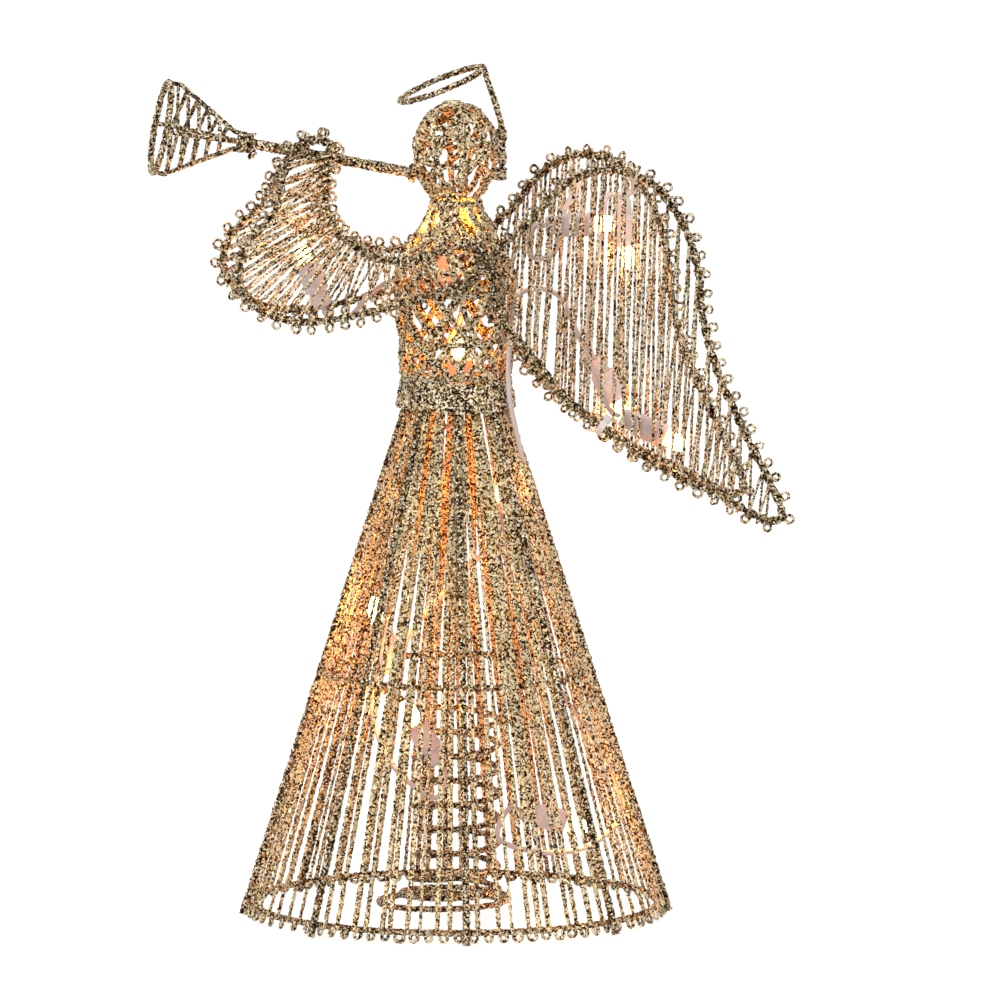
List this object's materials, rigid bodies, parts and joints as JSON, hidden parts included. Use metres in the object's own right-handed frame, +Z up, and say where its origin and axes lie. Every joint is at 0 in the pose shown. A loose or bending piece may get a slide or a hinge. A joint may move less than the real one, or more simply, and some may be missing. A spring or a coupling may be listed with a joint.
{
  "type": "angel tree topper",
  "caption": "Wire-frame angel with a thread-wound hooped skirt, openwork bodice and head, halo, trumpet, wound sleeves and wings, a spring that grips the tree tip, and a string of small lamps.",
  "frame": {"origin": "middle of the skirt's hem, in the plane that the ribs' feet stand on, on the axis of the skirt and the spring", "axes": "+Z up along the skirt's axis to the head; -X the way the angel faces and blows the trumpet; the wings sweep back to +X; the mirror plane of the wings and sleeves is y = 0"},
  "size_m": [0.237, 0.1662, 0.3262],
  "materials": {
    "glitter_wire": "champagne-gold glitter over bent steel wire",
    "glitter_net": "champagne-gold glitter over woven wire",
    "glitter_band": "champagne-gold glitter",
    "glitter_thread": "glitter-coated thread",
    "lead_cover": "white covered lead",
    "holder_plastic": "white moulded plastic",
    "bulb_glass": "clear glass, lit warm white"
  },
  "bodies": {
    "figure": {"hem_hoop": "glitter_wire", "middle_hoop": "glitter_wire", "waist_hoop": "glitter_wire", "skirt_rib_1": "glitter_wire", "skirt_rib_2": "glitter_wire", "skirt_rib_3": "glitter_wire", "skirt_rib_4": "glitter_wire", "skirt_rib_5": "glitter_wire", "skirt_rib_6": "glitter_wire", "skirt_rib_7": "glitter_wire", "skirt_rib_8": "glitter_wire", "halo": "glitter_wire", "trumpet_tube": "glitter_wire", "near_arm_frame": "glitter_wire", "far_arm_frame": "glitter_wire", "near_wing_frame": "glitter_wire", "far_wing_frame": "glitter_wire", "tree_spring": "glitter_wire", "trumpet_bell": "glitter_wire", "bodice_net": "glitter_net", "head_net": "glitter_net", "waist_band": "glitter_band", "skirt_thread_1": "glitter_thread", "skirt_thread_2": "glitter_thread", "skirt_thread_3": "glitter_thread", "skirt_thread_4": "glitter_thread", "skirt_thread_5": "glitter_thread", "skirt_thread_6": "glitter_thread", "skirt_thread_7": "glitter_thread", "skirt_thread_8": "glitter_thread", "near_arm_thread": "glitter_thread", "far_arm_thread": "glitter_thread", "near_wing_thread": "glitter_thread", "far_wing_thread": "glitter_thread", "lead_skirt": "lead_cover", "lead_body": "lead_cover", "lead_near_wing": "lead_cover", "lead_far_wing": "lead_cover", "lamp_holder_near_wing_upper": "holder_plastic", "lamp_holder_near_wing_lower": "holder_plastic", "lamp_holder_far_wing_upper": "holder_plastic", "lamp_holder_far_wing_lower": "holder_plastic", "lamp_holder_neck": "holder_plastic", "lamp_holder_chest": "holder_plastic", "lamp_holder_arm": "holder_plastic", "lamp_holder_skirt_1": "holder_plastic", "lamp_holder_skirt_2": "holder_plastic", "lamp_holder_skirt_3": "holder_plastic", "lamp_holder_skirt_4": "holder_plastic"},
    "bulb_near_wing_upper": {"bulb_near_wing_upper": "bulb_glass"},
    "bulb_near_wing_lower": {"bulb_near_wing_lower": "bulb_glass"},
    "bulb_far_wing_upper": {"bulb_far_wing_upper": "bulb_glass"},
    "bulb_far_wing_lower": {"bulb_far_wing_lower": "bulb_glass"},
    "bulb_neck": {"bulb_neck": "bulb_glass"},
    "bulb_chest": {"bulb_chest": "bulb_glass"},
    "bulb_arm": {"bulb_arm": "bulb_glass"},
    "bulb_skirt_1": {"bulb_skirt_1": "bulb_glass"},
    "bulb_skirt_2": {"bulb_skirt_2": "bulb_glass"},
    "bulb_skirt_3": {"bulb_skirt_3": "bulb_glass"},
    "bulb_skirt_4": {"bulb_skirt_4": "bulb_glass"}
  },
  "joints": [
    {"name": "pull_near_wing_upper", "type": "slide", "parent": "figure", "child": "bulb_near_wing_upper", "axis": [0.9774, -0.2077, 0.04], "range_m": [0, 0.009]},
    {"name": "pull_near_wing_lower", "type": "slide", "parent": "figure", "child": "bulb_near_wing_lower", "axis": [0.8864, -0.1884, -0.4229], "range_m": [0, 0.009]},
    {"name": "pull_far_wing_upper", "type": "slide", "parent": "figure", "child": "bulb_far_wing_upper", "axis": [0.0973, 0.0207, -0.995], "range_m": [0, 0.009]},
    {"name": "pull_far_wing_lower", "type": "slide", "parent": "figure", "child": "bulb_far_wing_lower", "axis": [0.4414, 0.0938, -0.8924], "range_m": [0, 0.009]},
    {"name": "pull_neck", "type": "slide", "parent": "figure", "child": "bulb_neck", "axis": [0, 0, 1], "range_m": [0, 0.009]},
    {"name": "pull_chest", "type": "slide", "parent": "figure", "child": "bulb_chest", "axis": [0, 0, 1], "range_m": [0, 0.009]},
    {"name": "pull_arm", "type": "slide", "parent": "figure", "child": "bulb_arm", "axis": [-0.3489, 0, 0.9371], "range_m": [0, 0.009]},
    {"name": "pull_skirt_1", "type": "slide", "parent": "figure", "child": "bulb_skirt_1", "axis": [0.0995, 0, 0.995], "range_m": [0, 0.009]},
    {"name": "pull_skirt_2", "type": "slide", "parent": "figure", "child": "bulb_skirt_2", "axis": [-0.2496, 0, 0.9684], "range_m": [0, 0.009]},
    {"name": "pull_skirt_3", "type": "slide", "parent": "figure", "child": "bulb_skirt_3", "axis": [-0.5026, 0, 0.8645], "range_m": [0, 0.009]},
    {"name": "pull_skirt_4", "type": "slide", "parent": "figure", "child": "bulb_skirt_4", "axis": [0.9626, 0, -0.2707], "range_m": [0, 0.009]}
  ]
}
